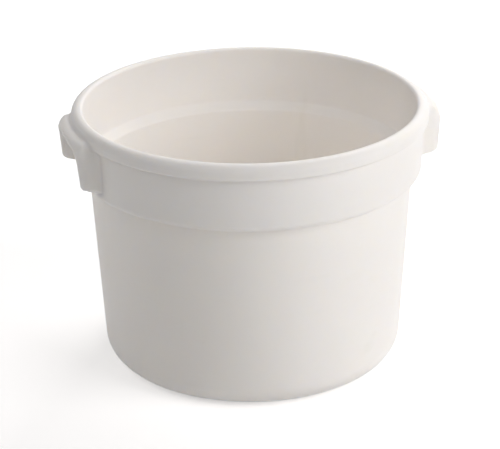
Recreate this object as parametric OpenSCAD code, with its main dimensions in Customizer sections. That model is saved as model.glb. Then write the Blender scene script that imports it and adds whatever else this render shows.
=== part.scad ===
// Round food pot with a thick lip, a wider upper band and two lug handles.
// Frame: the origin is the middle of the surface the pot stands on, +Z is up, and the handles
// lie on the X axis.
// Lengths are in millimetres.

/* [Pot] */
// Height from the surface it stands on to the top of the lip
pot_h = 217; // [197:1:250]
// Diameter across the lip
lip_d = 290; // [270:1:320]
// Thickness of the body's wall
wall_t = 3; // [2.6:0.1:3.4]
// Thickness of the wall in the band, down to the ledge inside
band_wall_t = 5; // [4.6:0.1:5.4]
// Thickness of the floor
floor_t = 3.4; // [3:0.1:4.2]

/* [Lip] */
// Height of the lip
lip_h = 12.1; // [11.4:0.1:12.8]
// Width of the lip across its top
lip_w = 9.7; // [9.3:0.1:10.2]
// How far the lip stands out past the band
lip_overhang = 4.8; // [4.2:0.1:5]
// Radius of the lip's outer top edge
lip_round = 6.5; // [5:0.1:7]
// Radius of the edge of the mouth
mouth_round = 1.5; // [1:0.1:2]
// Radius of the lip's lower edge
lip_under_round = 1.6; // [1:0.1:2]

/* [Band] */
// Height of the band, from the lip down to the step
band_h = 44.4; // [42:0.1:52]
// How much the band narrows to its lower edge, on the radius
band_draft = 0.4; // [0.2:0.1:0.8]
// How far the band stands out past the body
step_w = 7.6; // [7.2:0.1:8.2]
// Radius of the band's lower edge
step_round = 5.7; // [4:0.1:5.8]
// Radius in the corner under the step
step_fillet = 1.2; // [0.8:0.1:1.3]
// Height of the sloping ledge inside, where the wall steps in
ledge_h = 7.4; // [6.6:0.1:9]
// How far the ledge's lower edge lies above the step
ledge_rise = 1.4; // [1:0.1:2]
// Radius of both bends of the ledge
ledge_round = 3; // [2:0.5:5]

/* [Body] */
// How much the body narrows from the step to the base, on the radius
body_draft = 9.3; // [7.3:0.5:11.3]
// Radius of the base corner
base_round = 19.4; // [15.4:0.5:22.4]
// Width of the flat ring that the pot stands on
foot_w = 5; // [4:0.5:8]
// Depth of the hollow inside that ring
foot_h = 1.6; // [1.2:0.1:2]
// Radius in the corner of that hollow
foot_fillet = 1; // [0.6:0.1:1.2]
// Diameter of the dimple round the moulding gate
gate_d = 16; // [12:1:22]
// Depth of the dimple
gate_depth = 0.8; // [0.5:0.1:1]
// Diameter of the gate's stub
gate_stub_d = 3.6; // [2.6:0.2:5]
// Length of the gate's stub
gate_stub_h = 0.6; // [0.4:0.1:0.8]

/* [Handles] */
// How far each handle stands out past the lip
handle_reach = 11.2; // [10.4:0.2:12.4]
// Length of each handle along the pot
handle_w = 86; // [80:1:94]
// Height of each handle, from its top to the feet of its posts
handle_h = 42.5; // [40.5:0.5:45]
// How far its outer top edge lies below the top of the lip
handle_drop = 7.9; // [7.5:0.1:8.3]
// How far its outer face leans in towards the posts' feet, in degrees
handle_lean = 4.2; // [3:0.2:5]
// Radius of the handle's upright outer corners
handle_corner_round = 6; // [5:0.5:8]
// Radius of its outer top edge
handle_top_round = 8.5; // [7:0.1:9]
// Radius of the top edges at its two ends
handle_end_round = 12.5; // [10:0.5:14]
// Radius of the posts' lower outer edges
post_round = 3.2; // [2.6:0.1:3.6]
// How steeply the posts' undersides rise away from the pot, in degrees
post_rise = 13; // [10:0.5:15]
// Width of each post under the grip
post_w = 10.5; // [10:0.1:11.5]
// How much the opening widens down to the posts' feet, on each side
opening_flare = 2.3; // [1.7:0.1:2.7]
// Thickness of the grip over the middle of the finger opening
grip_t = 6.2; // [5.8:0.1:6.8]
// How far the opening's arched top falls from the middle to its sides
arch_fall = 4.2; // [3.2:0.2:4.8]
// Radius of the opening's upper corners
arch_corner_round = 6; // [5:0.5:8]
// Radius of the arch at its crown
arch_crown_round = 110; // [90:5:130]
// Thickness of the posts' walls round the core that is open below
post_wall_t = 2.5; // [2.2:0.1:2.7]
// Height of the post above its core
core_roof = 10; // [9:0.5:13]
// Radius of the cores' corners
core_round = 1.2; // [0.8:0.1:1.5]

/* [Hidden] */
$fn = 96;
plastic = [0.93, 0.92, 0.89];
// how far cutting shapes run past what they cut
over = 1;

// radii, from the outside in
lip_r = lip_d / 2;
band_top_r = lip_r - lip_overhang;
band_low_r = band_top_r - band_draft;
body_top_r = band_low_r - step_w;
base_r = body_top_r - body_draft;
mouth_r = lip_r - lip_w;
foot_r = base_r - base_round - foot_w;

// heights, from the top down
lip_z = pot_h - lip_h;
step_z = lip_z - band_h;
ledge_z = step_z + ledge_rise;
floor_z = foot_h + floor_t;

handle_r = lip_r + handle_reach;
handle_top_z = pot_h - handle_drop;
handle_side_y = handle_w / 2;
opening_side_y = handle_side_y - post_w;
opening_foot_y = opening_side_y + opening_flare;
// a handle's block starts inside the wall, and is then cut to the pot's own surface
root_x = mouth_r - band_wall_t - handle_reach;
// how far the block's rounded edges start outside its plain faces
edge_lap = 0.06;
// how far a rounding runs through the two sides that it joins, as a share of its radius
round_lap_share = 0.001;

function unit(v) = v / norm(v);
function turns_left(a, b, c) = (b - a).x * (c - b).y - (b - a).y * (c - b).x > 0;

// The sliver between a corner and the arc that rounds it; the arc runs a little through both sides
module corner_sliver(a, b, c, r) {
    to_a = unit(a - b);
    to_c = unit(c - b);
    inward = unit(to_a + to_c);
    half = acos(to_a * to_c) / 2;
    inner_r = r * (1 - round_lap_share);
    centre = b + inward * inner_r / sin(half);
    reach = inner_r / tan(half);
    difference() {
        polygon([b - inward * over, b + to_a * reach, centre, b + to_c * reach]);
        translate(centre) circle(r = r);
    }
}

// An outline from corners given anticlockwise as [point, radius]
module outline(corners) {
    last = len(corners) - 1;
    points = [for (c = corners) c[0]];
    before = function(i) points[i == 0 ? last : i - 1];
    after = function(i) points[i == last ? 0 : i + 1];
    difference() {
        union() {
            polygon(points);
            for (i = [0 : last])
                if (corners[i][1] > 0 && !turns_left(before(i), points[i], after(i)))
                    corner_sliver(before(i), points[i], after(i), corners[i][1]);
        }
        for (i = [0 : last])
            if (corners[i][1] > 0 && turns_left(before(i), points[i], after(i)))
                corner_sliver(before(i), points[i], after(i), corners[i][1]);
    }
}

// The pot's outside, from the foot ring up to the top of the lip
outside = [
    [[foot_r, 0], 0],
    [[base_r, 0], base_round],
    [[body_top_r, step_z], step_fillet],
    [[band_low_r, step_z], step_round],
    [[band_top_r, lip_z], 0],
    [[lip_r, lip_z], lip_under_round],
    [[lip_r, pot_h], lip_round],
];

// The pot's inside, from the mouth down to the middle of the floor
inside = [
    [[mouth_r, pot_h], mouth_round],
    [[band_low_r - band_wall_t, ledge_z + ledge_h], ledge_round],
    [[body_top_r - wall_t, ledge_z], ledge_round],
    [[base_r - wall_t, floor_z], base_round - wall_t],
    [[0, floor_z], 0],
];

// The hollow under the floor, out to the foot ring
underside = [
    [[0, foot_h], 0],
    [[foot_r - foot_h, foot_h], foot_fillet],
];

module pot_shell() {
    color(plastic) {
        difference() {
            rotate_extrude() outline(concat(underside, outside, inside));
            translate([0, 0, foot_h - over]) cylinder(d = gate_d, h = over + gate_depth);
        }
        translate([0, 0, foot_h + gate_depth - gate_stub_h])
            cylinder(d = gate_stub_d, h = gate_stub_h);
    }
}

// The handle seen from above: round the pot, with its two outer corners rounded
module handle_plan() {
    corner_y = handle_side_y - handle_corner_round;
    corner_r = handle_r - handle_corner_round;
    corner_x = sqrt(corner_r ^ 2 - corner_y ^ 2);
    difference() {
        intersection() {
            circle(r = handle_r);
            translate([root_x, -handle_side_y]) square([handle_r - root_x, handle_w]);
        }
        for (side = [0, 1])
            mirror([0, side])
                difference() {
                    polygon([
                        [corner_x, corner_y],
                        [corner_x, corner_y] * handle_r / corner_r,
                        [handle_r + over, handle_side_y + over],
                        [corner_x, handle_side_y],
                    ]);
                    translate([corner_x, corner_y])
                        circle(r = handle_corner_round * (1 + round_lap_share));
                }
    }
}

// How far the posts' undersides lie below the handle's top at a distance from the pot's axis
function foot_below(r) = handle_h - (r - band_low_r) * tan(post_rise);

// The handle cut through along a radius of the pot, with its top at zero
module handle_section() {
    outline([
        [[root_x - over, -foot_below(root_x - over)], 0],
        [[handle_r + edge_lap, -foot_below(handle_r + edge_lap)], post_round],
        [[handle_r + edge_lap, 0], handle_top_round],
        [[root_x - over, 0], 0],
    ]);
}

// The handle seen from outside, with its top at zero: two posts under an arched grip
module handle_front() {
    side_y = handle_side_y + edge_lap;
    top_z = edge_lap;
    low_z = -handle_h - over;
    arch_z = -grip_t - arch_fall;
    outline([
        [[-side_y, low_z], 0],
        [[-opening_foot_y, low_z], 0],
        [[-opening_side_y, arch_z], arch_corner_round],
        [[0, -grip_t], arch_crown_round],
        [[opening_side_y, arch_z], arch_corner_round],
        [[opening_foot_y, low_z], 0],
        [[side_y, low_z], 0],
        [[side_y, top_z], handle_end_round],
        [[-side_y, top_z], handle_end_round],
    ]);
}

// The core of one post, open below so that its walls are of one thickness
module post_core() {
    low_y = opening_foot_y + post_wall_t;
    high_y = handle_side_y - post_wall_t;
    out_x = sqrt((handle_r - handle_corner_round) ^ 2 - high_y ^ 2)
        + handle_corner_round - post_wall_t;
    translate([0, 0, -handle_h - over])
        linear_extrude(handle_h - core_roof + over)
            outline([
                [[root_x, low_y], 0],
                [[out_x, low_y], core_round],
                [[out_x, high_y], core_round],
                [[root_x, high_y], 0],
            ]);
}

// The handle before it leans, with its top at zero: its three outlines crossed, less the posts' cores
module upright_handle() {
    difference() {
        intersection() {
            translate([0, 0, -handle_h - 2 * over])
                linear_extrude(handle_h + 3 * over) handle_plan();
            rotate_extrude() handle_section();
            rotate([90, 0, 90]) linear_extrude(handle_r + over) handle_front();
        }
        for (side = [0, 1])
            mirror([0, side, 0]) post_core();
    }
}

// One handle on the +X side, leaning in and cut to sit against the band and the lip
module handle() {
    difference() {
        translate([handle_r, 0, handle_top_z])
            rotate([0, handle_lean, 0])
                translate([-handle_r, 0, 0]) upright_handle();
        rotate_extrude() outline(concat([[[0, 0], 0]], outside, [[[0, pot_h], 0]]));
    }
}

module handle_left() {
    color(plastic) rotate([0, 0, 180]) handle();
}

module handle_right() {
    color(plastic) handle();
}

pot_shell();
handle_left();
handle_right();
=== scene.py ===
import math

import bpy
import numpy as np
from mathutils import Matrix, Vector


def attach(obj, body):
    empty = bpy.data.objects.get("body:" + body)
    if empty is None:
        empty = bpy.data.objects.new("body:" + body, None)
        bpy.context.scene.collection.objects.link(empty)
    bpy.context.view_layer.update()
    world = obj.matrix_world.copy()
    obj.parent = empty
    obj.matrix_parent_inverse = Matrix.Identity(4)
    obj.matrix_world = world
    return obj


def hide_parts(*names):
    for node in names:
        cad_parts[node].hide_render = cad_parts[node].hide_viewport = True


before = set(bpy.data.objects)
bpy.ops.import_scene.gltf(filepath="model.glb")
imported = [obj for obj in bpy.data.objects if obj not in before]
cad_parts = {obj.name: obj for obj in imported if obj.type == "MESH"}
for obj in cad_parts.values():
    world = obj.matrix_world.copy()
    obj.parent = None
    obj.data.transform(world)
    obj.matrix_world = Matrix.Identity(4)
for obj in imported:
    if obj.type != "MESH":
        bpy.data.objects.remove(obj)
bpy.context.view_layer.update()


# The pot: floor, tapered body, wider band and rolled lip, open at the top, with a ledge inside behind the step.
# The real one is white polyethylene, injection moulded in one shot through a gate in the middle of the base,
# with a draft on every wall so that it leaves the mould. Sizes are in metres.

POT_HIGH = 0.217
LIP_R = 0.145
LIP_HIGH = 0.0121
LIP_WIDE = 0.0097
LIP_OVERHANG = 0.0048
LIP_ROUND = 0.0065
LIP_LOW_ROUND = 0.0016
LIP_FILLET = 0.0025
MOUTH_ROUND = 0.0028
BAND_HIGH = 0.0444
BAND_DRAFT = 0.0004
BAND_WALL = 0.005
STEP = 0.0076
STEP_ROUND = 0.0055
STEP_FILLET = 0.002
BODY_DRAFT = 0.0093
WALL = 0.003
FLOOR = 0.0034
BASE_ROUND = 0.0194
FOOT_WIDE = 0.005
FOOT_HIGH = 0.0016
FOOT_BEND = 0.001
FOOT_EDGE = 0.0006
GATE_R = 0.008
GATE_ROOF = 0.0024
GATE_SLOPE = 0.0008
GATE_EDGE = 0.0006
GATE_STUB_R = 0.0015
GATE_STUB_HIGH = 0.0018
GATE_STUB_EDGE = 0.0004
GATE_STUB_FLARE = 0.0003
GATE_STUB_ROOT = 0.0003
LEDGE_HIGH = 0.0074
LEDGE_RISE = 0.0014
LEDGE_ROUND = 0.003

band_top_r = LIP_R - LIP_OVERHANG
band_low_r = band_top_r - BAND_DRAFT
body_top_r = band_low_r - STEP
base_r = body_top_r - BODY_DRAFT
mouth_r = LIP_R - LIP_WIDE
foot_r = base_r - BASE_ROUND - FOOT_WIDE
lip_low = POT_HIGH - LIP_HIGH
step_high = lip_low - BAND_HIGH
ledge_low = step_high + LEDGE_RISE
floor_high = FOOT_HIGH + FLOOR


def moulded_line(corners, arc_step=math.radians(7), straight_step=0.004):
    """Points and outward normals along the pot's section, given by corners of (radius, height, rounding)."""
    at = [Vector(c[:2]) for c in corners]
    points, normals = [], []

    def add(p, along):
        points.append((p.x, p.y))
        normals.append((along.y, -along.x))

    start = at[0]
    for i in range(1, len(at)):
        along = (at[i] - start).normalized()
        rounding = corners[i][2] if i + 1 < len(at) else 0
        if rounding:
            onward = (at[i + 1] - at[i]).normalized()
            turn = math.atan2(along.x * onward.y - along.y * onward.x, along.dot(onward))
            back_off = rounding * math.tan(abs(turn) / 2)
            stop = at[i] - along * back_off
        else:
            stop = at[i]
        steps = max(1, math.ceil((stop - start).length / straight_step))
        for k in range(steps + 1):
            add(start.lerp(stop, k / steps), along)
        start = stop
        if rounding:
            side = Vector((-along.y, along.x)) * math.copysign(rounding, turn)
            centre = stop + side
            steps = max(3, math.ceil(abs(turn) / arc_step))
            for k in range(1, steps):
                swing = Matrix.Rotation(turn * k / steps, 2)
                add(centre + swing @ (stop - centre), swing @ along)
            start = at[i] + onward * back_off
    return points, normals


def turned_mesh(name, points, normals, around=320):
    """A closed skin turned round the pot's axis from a line that starts and ends on the axis."""
    same_place = 1e-6
    kept = [0]
    for i in range(1, len(points)):
        if math.dist(points[i], points[kept[-1]]) > same_place:
            kept.append(i)
    points = [points[i] for i in kept]
    normals = [normals[i] for i in kept]
    places, facing, faces = [], [], []
    turns = [2 * math.pi * k / around for k in range(around)]
    rings = []
    for (r, z), (nr, nz) in zip(points, normals):
        first = len(places)
        if r < same_place:
            places.append((0, 0, z))
            facing.append((0, 0, math.copysign(1, nz)))
            rings.append([first] * around)
        else:
            places += [(r * math.cos(t), r * math.sin(t), z) for t in turns]
            facing += [(nr * math.cos(t), nr * math.sin(t), nz) for t in turns]
            rings.append(list(range(first, first + around)))
    for low, high in zip(rings, rings[1:]):
        for k in range(around):
            n = (k + 1) % around
            face = [low[k], low[n], high[n], high[k]]
            faces.append([v for j, v in enumerate(face) if v not in face[:j]])
    mesh = bpy.data.meshes.new(name)
    mesh.from_pydata(places, [], faces)
    mesh.shade_smooth()
    mesh.normals_split_custom_set_from_vertices(facing)
    return mesh


# from the gate's stub under the floor, out and up to the lip, and down the inside to the middle of the floor
pot_line = [
    (0, GATE_STUB_HIGH, 0),
    (GATE_STUB_R, GATE_STUB_HIGH, GATE_STUB_EDGE),
    (GATE_STUB_R + GATE_STUB_FLARE, GATE_ROOF, GATE_STUB_ROOT),
    (GATE_R - GATE_SLOPE, GATE_ROOF, GATE_EDGE),
    (GATE_R, FOOT_HIGH, GATE_EDGE),
    (foot_r - FOOT_HIGH, FOOT_HIGH, FOOT_BEND),
    (foot_r, 0, FOOT_EDGE),
    (base_r, 0, BASE_ROUND),
    (body_top_r, step_high, STEP_FILLET),
    (band_low_r, step_high, STEP_ROUND),
    (band_top_r, lip_low, LIP_FILLET),
    (LIP_R, lip_low, LIP_LOW_ROUND),
    (LIP_R, POT_HIGH, LIP_ROUND),
    (mouth_r, POT_HIGH, MOUTH_ROUND),
    (band_low_r - BAND_WALL, ledge_low + LEDGE_HIGH, LEDGE_ROUND),
    (body_top_r - WALL, ledge_low, LEDGE_ROUND),
    (base_r - WALL, floor_high, BASE_ROUND - WALL),
    (0, floor_high, 0),
]
pot = bpy.data.objects.new("pot_moulding", turned_mesh("pot_moulding", *moulded_line(pot_line)))
bpy.context.scene.collection.objects.link(pot)


WHITE_LOW = (0.977, 0.935, 0.890, 1)
WHITE_HIGH = (0.988, 0.947, 0.903, 1)
RUBBED_WHITE = (0.87, 0.83, 0.78, 1)
LIGHT_DEPTH = 0.0017


def white_polyethylene(name):
    """Satin white polyethylene: barely mottled, finely grained by the mould, and lightly scuffed in patches."""
    material = bpy.data.materials.new(name)
    material.use_nodes = True
    nodes, links = material.node_tree.nodes, material.node_tree.links
    skin = nodes["Principled BSDF"]
    skin.inputs["IOR"].default_value = 1.51
    skin.inputs["Specular IOR Level"].default_value = 0.35
    skin.inputs["Subsurface Weight"].default_value = 0.8
    skin.inputs["Subsurface Radius"].default_value = (1.0, 0.94, 0.84)
    skin.inputs["Subsurface Scale"].default_value = LIGHT_DEPTH
    place = nodes.new("ShaderNodeTexCoord")

    def noise(scale, detail, stretch=(1, 1, 1), turn=(0, 0, 0)):
        mapping = nodes.new("ShaderNodeMapping")
        mapping.inputs["Scale"].default_value = stretch
        mapping.inputs["Rotation"].default_value = turn
        links.new(place.outputs["Object"], mapping.inputs["Vector"])
        texture = nodes.new("ShaderNodeTexNoise")
        texture.inputs["Scale"].default_value = scale
        texture.inputs["Detail"].default_value = detail
        links.new(mapping.outputs["Vector"], texture.inputs["Vector"])
        return texture.outputs["Fac"]

    def spread(value, low, high, to_low, to_high):
        remap = nodes.new("ShaderNodeMapRange")
        for socket, number in zip(("From Min", "From Max", "To Min", "To Max"), (low, high, to_low, to_high)):
            remap.inputs[socket].default_value = number
        links.new(value, remap.inputs["Value"])
        return remap.outputs["Result"]

    def combined(operation, a, b):
        both = nodes.new("ShaderNodeMath")
        both.operation = operation
        links.new(a, both.inputs[0])
        links.new(b, both.inputs[1])
        return both.outputs["Value"]

    # thin scuffs that run two ways, only where the pot has been rubbed
    scuffs = combined("MAXIMUM", spread(noise(70, 6, (1, 1, 0.1)), 0.6, 0.72, 0, 1),
                      spread(noise(60, 6, (0.12, 1, 1), (0.3, 0.5, 0.9)), 0.6, 0.72, 0, 1))
    scuffs = combined("MULTIPLY", scuffs, spread(noise(11, 2), 0.48, 0.66, 0, 1))

    # the white, faintly mottled, and a little greyer where it is scuffed
    mottle = nodes.new("ShaderNodeValToRGB")
    mottle.color_ramp.elements[0].position = 0.3
    mottle.color_ramp.elements[0].color = WHITE_LOW
    mottle.color_ramp.elements[1].position = 0.7
    mottle.color_ramp.elements[1].color = WHITE_HIGH
    links.new(noise(26, 3), mottle.inputs["Fac"])
    rubbed = nodes.new("ShaderNodeMixRGB")
    rubbed.inputs["Color2"].default_value = RUBBED_WHITE
    links.new(spread(scuffs, 0, 1, 0, 0.3), rubbed.inputs["Fac"])
    links.new(mottle.outputs["Color"], rubbed.inputs["Color1"])
    links.new(rubbed.outputs["Color"], skin.inputs["Base Color"])

    # satin, duller in the scuffs
    satin = spread(noise(90, 4, (1, 1, 2.5)), 0.35, 0.7, 0.46, 0.56)
    links.new(combined("ADD", satin, spread(scuffs, 0, 1, 0, 0.12)), skin.inputs["Roughness"])

    # the wall's faint sink and swell, and over it the mould's fine grain, cut by the scuffs
    swell = nodes.new("ShaderNodeBump")
    swell.inputs["Strength"].default_value = 0.12
    swell.inputs["Distance"].default_value = 0.0006
    links.new(noise(32, 1), swell.inputs["Height"])
    grain = nodes.new("ShaderNodeBump")
    grain.inputs["Strength"].default_value = 0.12
    grain.inputs["Distance"].default_value = 0.0001
    links.new(combined("SUBTRACT", noise(1400, 2), scuffs), grain.inputs["Height"])
    links.new(swell.outputs["Normal"], grain.inputs["Normal"])
    links.new(grain.outputs["Normal"], skin.inputs["Normal"])
    return material


pot.data.materials.append(white_polyethylene("pot_white"))
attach(pot, "root")
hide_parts("pot_shell")


# The two lug handles: an arched grip on two posts, cored from below, with room for four fingers.
# They are of the pot's own polyethylene and run into the band and the lip's edge with small fillets,
# as ribs that fill in the same mould do. The grip leans in a little towards the posts' feet.

HANDLE_R = LIP_R + 0.0114
HANDLE_TOP = POT_HIGH - 0.0079
HANDLE_HIGH = 0.0425
HANDLE_HALF = 0.043
HANDLE_LEAN = math.radians(4.2)
HANDLE_CORNER = 0.006
HANDLE_TOP_ROUND = 0.0085
HANDLE_END_ROUND = 0.0125
POST_WIDE = 0.0105
POST_ROUND = 0.0042
POST_RISE = math.radians(13)
OPENING_FLARE = 0.0023
GRIP_THICK = 0.0062
ARCH_FALL = 0.0042
ARCH_CORNER = 0.006
POST_WALL = 0.0025
CORE_ROOF = 0.010
CORE_ROUND = 0.0012
CORE_EDGE = 0.0007
ROOT_FILLET = 0.002
ROOT_SPREAD = 0.0035
ROOT_PLATE = 0.0012
UNDER_SKIN = 0.00002
INNER_EDGE = 0.0012
OUTER_EDGE = 0.0046
OUTER_EDGE_DEEP = 0.009
OUTER_EDGE_RUN = 0.006
NET_STEP = 0.00075
NET_LOW = (0.1300, -0.0495, 0.1640)
NET_HIGH = (0.1585, 0.0495, 0.2145)


def rounded_edge(a, b, r):
    """Both solids at once, their shared edge rounded off. Distances are below zero inside."""
    return np.minimum(np.maximum(a, b), -r) + np.hypot(np.maximum(a + r, 0), np.maximum(b + r, 0))


def filled_corner(a, b, r):
    """Either solid, with a fillet in the corner between them."""
    return np.maximum(np.minimum(a, b), r) - np.hypot(np.maximum(r - a, 0), np.maximum(r - b, 0))


def handle_distance(p):
    """How far each point lies outside the +X handle with its fillets and its hidden root, in metres."""
    x, y, z = p[:, 0], np.abs(p[:, 1]), p[:, 2]

    # the pot's own outside
    out = np.hypot(x, y)
    band = out - (band_top_r - (lip_low - z) * BAND_DRAFT / BAND_HIGH)
    lip = rounded_edge(rounded_edge(out - LIP_R, z - POT_HIGH, LIP_ROUND), lip_low - z, LIP_LOW_ROUND)
    wall = filled_corner(lip, band, LIP_FILLET)

    # the leaning block, with its upright corners rounded
    dx, dz = x - HANDLE_R, z - HANDLE_TOP
    across = HANDLE_R + dx * math.cos(HANDLE_LEAN) - dz * math.sin(HANDLE_LEAN)
    down = -dx * math.sin(HANDLE_LEAN) - dz * math.cos(HANDLE_LEAN)
    outer = np.hypot(across, y) - HANDLE_R
    foot = (down - HANDLE_HIGH) * math.cos(POST_RISE) + (outer + HANDLE_R - band_low_r) * math.sin(POST_RISE)
    block = rounded_edge(outer, y - HANDLE_HALF, HANDLE_CORNER)

    # its top edge is rounded more towards both ends
    to_end = np.clip(y / HANDLE_HALF * 2 - 1, 0, 1)
    to_end = to_end * to_end * (3 - 2 * to_end)
    block = rounded_edge(block, -down, HANDLE_TOP_ROUND + (HANDLE_END_ROUND - HANDLE_TOP_ROUND) * to_end)
    block = rounded_edge(block, foot, POST_ROUND)

    # the opening: two sides that flare, under a shallow arch
    arch_low = GRIP_THICK + ARCH_FALL
    flare = math.atan(OPENING_FLARE / (HANDLE_HIGH - arch_low))
    side = (y - HANDLE_HALF + POST_WIDE) * math.cos(flare) - (down - arch_low) * math.sin(flare)
    arch_r = ((HANDLE_HALF - POST_WIDE) ** 2 + ARCH_FALL ** 2) / (2 * ARCH_FALL)
    arch = np.hypot(y, down - GRIP_THICK - arch_r) - arch_r
    opening = rounded_edge(side, arch, ARCH_CORNER)

    # its edge is rounded more towards the outer face, where the fingers go in
    to_face = np.clip((outer + OUTER_EDGE_DEEP) / OUTER_EDGE_RUN, 0, 1)
    grip = rounded_edge(block, -opening, INNER_EDGE + (OUTER_EDGE - INNER_EDGE) * to_face)

    # the hollow in each post, open below
    core = np.maximum(HANDLE_HALF - POST_WIDE + OPENING_FLARE + POST_WALL - y, y - HANDLE_HALF + POST_WALL)
    core = rounded_edge(core, outer + POST_WALL, CORE_ROUND)
    core = np.maximum(core, CORE_ROOF - down)
    grip = rounded_edge(grip, -core, CORE_EDGE)

    # the fillet on the pot, which runs out just under the pot's skin near the handle, and a thin plate in the wall
    whole = filled_corner(grip, wall + UNDER_SKIN, ROOT_FILLET)
    whole = np.maximum(whole, -wall - ROOT_PLATE)
    return np.maximum(whole, grip - ROOT_SPREAD)


def netted_mesh(name, distance, low, high, step):
    """A smooth skin of near-square faces laid over the zero surface of a distance field.

    Each cell that the surface crosses gets one point, and each crossed edge one face."""
    count = [int(math.ceil((h - l) / step)) + 1 for l, h in zip(low, high)]
    axes = [l + step * np.arange(n) for l, n in zip(low, count)]
    grid = np.stack(np.meshgrid(*axes, indexing="ij"), -1).reshape(-1, 3)
    f = distance(grid).reshape(count)
    inside = f < 0
    cells = [n - 1 for n in count]
    total = np.zeros(cells + [3])
    hits = np.zeros(cells)
    corners = np.array([(i, j, k) for i in (0, 1) for j in (0, 1) for k in (0, 1)])

    def corner(values, c):
        return values[c[0]:c[0] + cells[0], c[1]:c[1] + cells[1], c[2]:c[2] + cells[2]]

    for a in corners:
        for axis in range(3):
            if a[axis]:
                continue
            b = a.copy()
            b[axis] = 1
            fa, fb = corner(f, a), corner(f, b)
            crossed = (fa < 0) != (fb < 0)
            share = np.where(crossed, fa / np.where(crossed, fa - fb, 1), 0)
            for d in range(3):
                total[..., d] += np.where(crossed, a[d] + (share if d == axis else 0), 0)
            hits += crossed
    full = hits > 0
    number = np.full(cells, -1)
    number[full] = np.arange(full.sum())
    base = np.argwhere(full)
    points = np.array(low) + step * (base + total[full] / hits[full][:, None])

    quads = []
    for axis in range(3):
        u, v = (axis + 1) % 3, (axis + 2) % 3
        ahead = np.roll(inside, -1, axis)
        edge = inside != ahead
        cut = [slice(1, n - 1) for n in count]
        cut[axis] = slice(0, count[axis] - 1)
        window = np.zeros_like(edge)
        window[tuple(cut)] = True
        at = np.argwhere(edge & window)
        starts = inside[tuple(at.T)]
        around = []
        for du, dv in ((-1, -1), (0, -1), (0, 0), (-1, 0)):
            c = at.copy()
            c[:, u] += du
            c[:, v] += dv
            around.append(number[tuple(c.T)])
        quad = np.stack(around, 1)
        quad[~starts] = quad[~starts][:, ::-1]
        quads.append(quad)
    quads = np.concatenate(quads)

    def slope_at(p):
        reach = 1e-5
        out = np.zeros_like(p)
        for d in range(3):
            shift = np.zeros(3)
            shift[d] = reach
            out[:, d] = (distance(p + shift) - distance(p - shift)) / (2 * reach)
        return out

    # every round draws the points onto the surface, and the first four also slide them towards their neighbours
    even_rounds, last_rounds = 4, 2
    least_slope = 0.3
    ends = np.concatenate([quads[:, [i, (i + 1) % 4]] for i in range(4)])
    for turn in range(even_rounds + last_rounds):
        g = slope_at(points)
        length = np.maximum(np.linalg.norm(g, axis=1), least_slope)
        points = points - g * (distance(points) / length ** 2)[:, None]
        if turn < even_rounds:
            mean = np.zeros_like(points)
            times = np.zeros(len(points))
            np.add.at(mean, ends[:, 0], points[ends[:, 1]])
            np.add.at(times, ends[:, 0], 1)
            drift = mean / times[:, None] - points
            facing = g / length[:, None]
            drift -= facing * (drift * facing).sum(1)[:, None]
            points = points + drift * 0.5
    facing = slope_at(points)
    facing /= np.maximum(np.linalg.norm(facing, axis=1), 1e-9)[:, None]
    mesh = bpy.data.meshes.new(name)
    mesh.from_pydata(points.tolist(), [], quads.tolist())
    mesh.shade_smooth()
    mesh.normals_split_custom_set_from_vertices(facing.tolist())
    return mesh


handle_mesh = netted_mesh("handle_right_moulding", handle_distance, NET_LOW, NET_HIGH, NET_STEP)
handle_white = white_polyethylene("handle_white")
for side in ("right", "left"):
    mesh = handle_mesh if side == "right" else handle_mesh.copy()
    if side == "left":
        mesh.name = "handle_left_moulding"
        mesh.transform(Matrix.Rotation(math.pi, 4, "Z"))
    handle = bpy.data.objects.new(f"handle_{side}_moulding", mesh)
    bpy.context.scene.collection.objects.link(handle)
    mesh.materials.append(handle_white)
    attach(handle, "root")
    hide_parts(f"handle_{side}")


# The floor under the pot and the pale surroundings of a product studio.
# The floor is a plain matt paper that keeps the pot's shadow. It and the room are white where they are
# only seen, straight or in a gloss, and that white puts no light on the pot.

PAPER = (0.9, 0.9, 0.9, 1)
WHITE = (1, 1, 1, 1)
FLOOR_HALF = 6
LIFT_NEAR = 0.45
LIFT_FAR = 1
LIFT_FROM = 0.5
LIFT_TO = 2.2
ROOM_TINT = (1, 0.975, 0.965, 1)
ROOM_LIGHT = 0.03

floor_mesh = bpy.data.meshes.new("studio_floor")
floor_corners = [(FLOOR_HALF * x, FLOOR_HALF * y, 0) for x, y in ((-1, -1), (1, -1), (1, 1), (-1, 1))]
floor_mesh.from_pydata(floor_corners, [], [(0, 1, 2, 3)])
floor = bpy.data.objects.new("studio_floor", floor_mesh)
bpy.context.scene.collection.objects.link(floor)
paper = bpy.data.materials.new("studio_paper")
paper.use_nodes = True
nodes, links = paper.node_tree.nodes, paper.node_tree.links
matt = nodes["Principled BSDF"]
matt.inputs["Base Color"].default_value = PAPER
matt.inputs["Roughness"].default_value = 0.9


def seen_directly(nodes, links):
    """One for rays that only look, from the camera, a gloss or a clear thing, and zero for those that light."""
    path = nodes.new("ShaderNodeLightPath")
    value = path.outputs["Is Camera Ray"]
    for ray in ("Is Glossy Ray", "Is Transmission Ray"):
        more = nodes.new("ShaderNodeMath")
        more.operation = "MAXIMUM"
        links.new(value, more.inputs[0])
        links.new(path.outputs[ray], more.inputs[1])
        value = more.outputs["Value"]
    return value


glow = nodes.new("ShaderNodeEmission")
glow.inputs["Color"].default_value = WHITE

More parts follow.
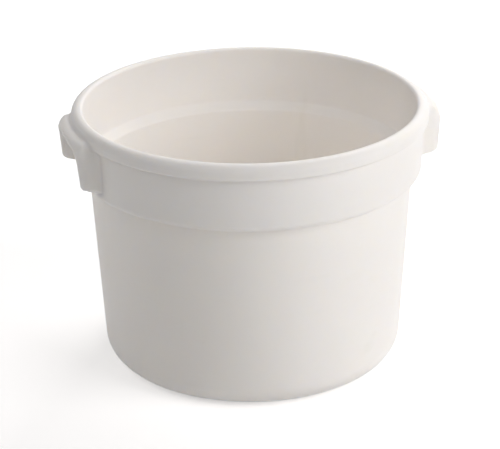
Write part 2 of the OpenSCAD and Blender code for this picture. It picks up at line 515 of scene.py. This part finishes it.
# the paper's own white, more of it further from the pot, where the lamps light it less
lift = nodes.new("ShaderNodeMath")
lift.operation = "MULTIPLY"
links.new(seen_directly(nodes, links), lift.inputs[0])
on_floor = nodes.new("ShaderNodeTexCoord")
from_pot = nodes.new("ShaderNodeVectorMath")
from_pot.operation = "LENGTH"
links.new(on_floor.outputs["Object"], from_pot.inputs[0])
brighter_far = nodes.new("ShaderNodeMapRange")
brighter_far.inputs["From Min"].default_value = LIFT_FROM
brighter_far.inputs["From Max"].default_value = LIFT_TO
brighter_far.inputs["To Min"].default_value = LIFT_NEAR
brighter_far.inputs["To Max"].default_value = LIFT_FAR
links.new(from_pot.outputs["Value"], brighter_far.inputs["Value"])
links.new(brighter_far.outputs["Result"], lift.inputs[1])
links.new(lift.outputs["Value"], glow.inputs["Strength"])
both = nodes.new("ShaderNodeAddShader")
links.new(matt.outputs["BSDF"], both.inputs[0])
links.new(glow.outputs["Emission"], both.inputs[1])
links.new(both.outputs["Shader"], nodes["Material Output"].inputs["Surface"])
floor_mesh.materials.append(paper)

world = bpy.data.worlds.new("studio")
bpy.context.scene.world = world
world.use_nodes = True
nodes, links = world.node_tree.nodes, world.node_tree.links
room = nodes["Background"]
room.inputs["Color"].default_value = ROOM_TINT
room.inputs["Strength"].default_value = ROOM_LIGHT
beyond = nodes.new("ShaderNodeBackground")
beyond.inputs["Color"].default_value = WHITE
beyond.inputs["Strength"].default_value = 1.0
pick = nodes.new("ShaderNodeMixShader")
links.new(seen_directly(nodes, links), pick.inputs["Fac"])
links.new(room.outputs["Background"], pick.inputs[1])
links.new(beyond.outputs["Background"], pick.inputs[2])
links.new(pick.outputs["Shader"], nodes["World Output"].inputs["Surface"])


# The lamps: strong wide soft boxes on the right and behind the pot, and weak ones on the left and in front.
# All have the same size, distance and slightly warm white, and all face the pot's middle.

VIEW_TURN = math.radians(-15.5)
SOFT_BOX_SIZE = 1.1
SOFT_BOX_AWAY = 1.7
SOFT_BOX_AIM = Vector((0, 0, 0.11))
SOFT_BOX_WHITE = (1, 0.971, 0.963)


def soft_box(name, turn, height, power):
    """A square lamp that faces the pot; turn is measured from the camera's own direction, to its right."""
    lamp = bpy.data.lights.new(name, "AREA")
    lamp.shape = "SQUARE"
    lamp.size = SOFT_BOX_SIZE
    lamp.energy = power
    lamp.color = SOFT_BOX_WHITE
    side = VIEW_TURN + math.radians(turn)
    lift = math.radians(height)
    back = Vector((math.sin(side) * math.cos(lift), -math.cos(side) * math.cos(lift), math.sin(lift)))
    holder = bpy.data.objects.new(name, lamp)
    holder.location = SOFT_BOX_AIM + back * SOFT_BOX_AWAY
    holder.rotation_euler = back.to_track_quat("Z", "Y").to_euler()
    bpy.context.scene.collection.objects.link(holder)


soft_box("soft_box_right", 60, 30, 16.2)
soft_box("soft_box_left", -90, 40, 6.6)
soft_box("soft_box_back", 150, 45, 15.7)
soft_box("soft_box_front", 0, 35, 2.9)


# The camera stands where the photograph was taken from, a little above the pot and off the line of the handles.
# Its frame is shifted a little, because the pot is not in the middle of the photograph.

LOOK_DOWN = 0.4080
LOOK_AT = Vector((0, 0, 0.10875))
CAMERA_AWAY = 1.63627
CAMERA_TILT = 0.0136

camera_data = bpy.data.cameras.new("camera")
camera_data.sensor_width = 36
camera_data.lens = 141.504
camera_data.shift_x = -0.00278
camera_data.shift_y = -0.00201
camera = bpy.data.objects.new("camera", camera_data)
bpy.context.scene.collection.objects.link(camera)
flat = math.cos(LOOK_DOWN)
back = Vector((math.sin(VIEW_TURN) * flat, -math.cos(VIEW_TURN) * flat, math.sin(LOOK_DOWN)))
right = Vector((math.cos(VIEW_TURN), math.sin(VIEW_TURN), 0))
up = back.cross(right)
right, up = (right - up * CAMERA_TILT).normalized(), (up + right * CAMERA_TILT).normalized()
stand = LOOK_AT + back * CAMERA_AWAY
camera.matrix_world = Matrix((
    (right.x, up.x, back.x, stand.x),
    (right.y, up.y, back.y, stand.y),
    (right.z, up.z, back.z, stand.z),
    (0, 0, 0, 1),
))
bpy.context.scene.camera = camera
bpy.context.scene.view_settings.view_transform = "Standard"
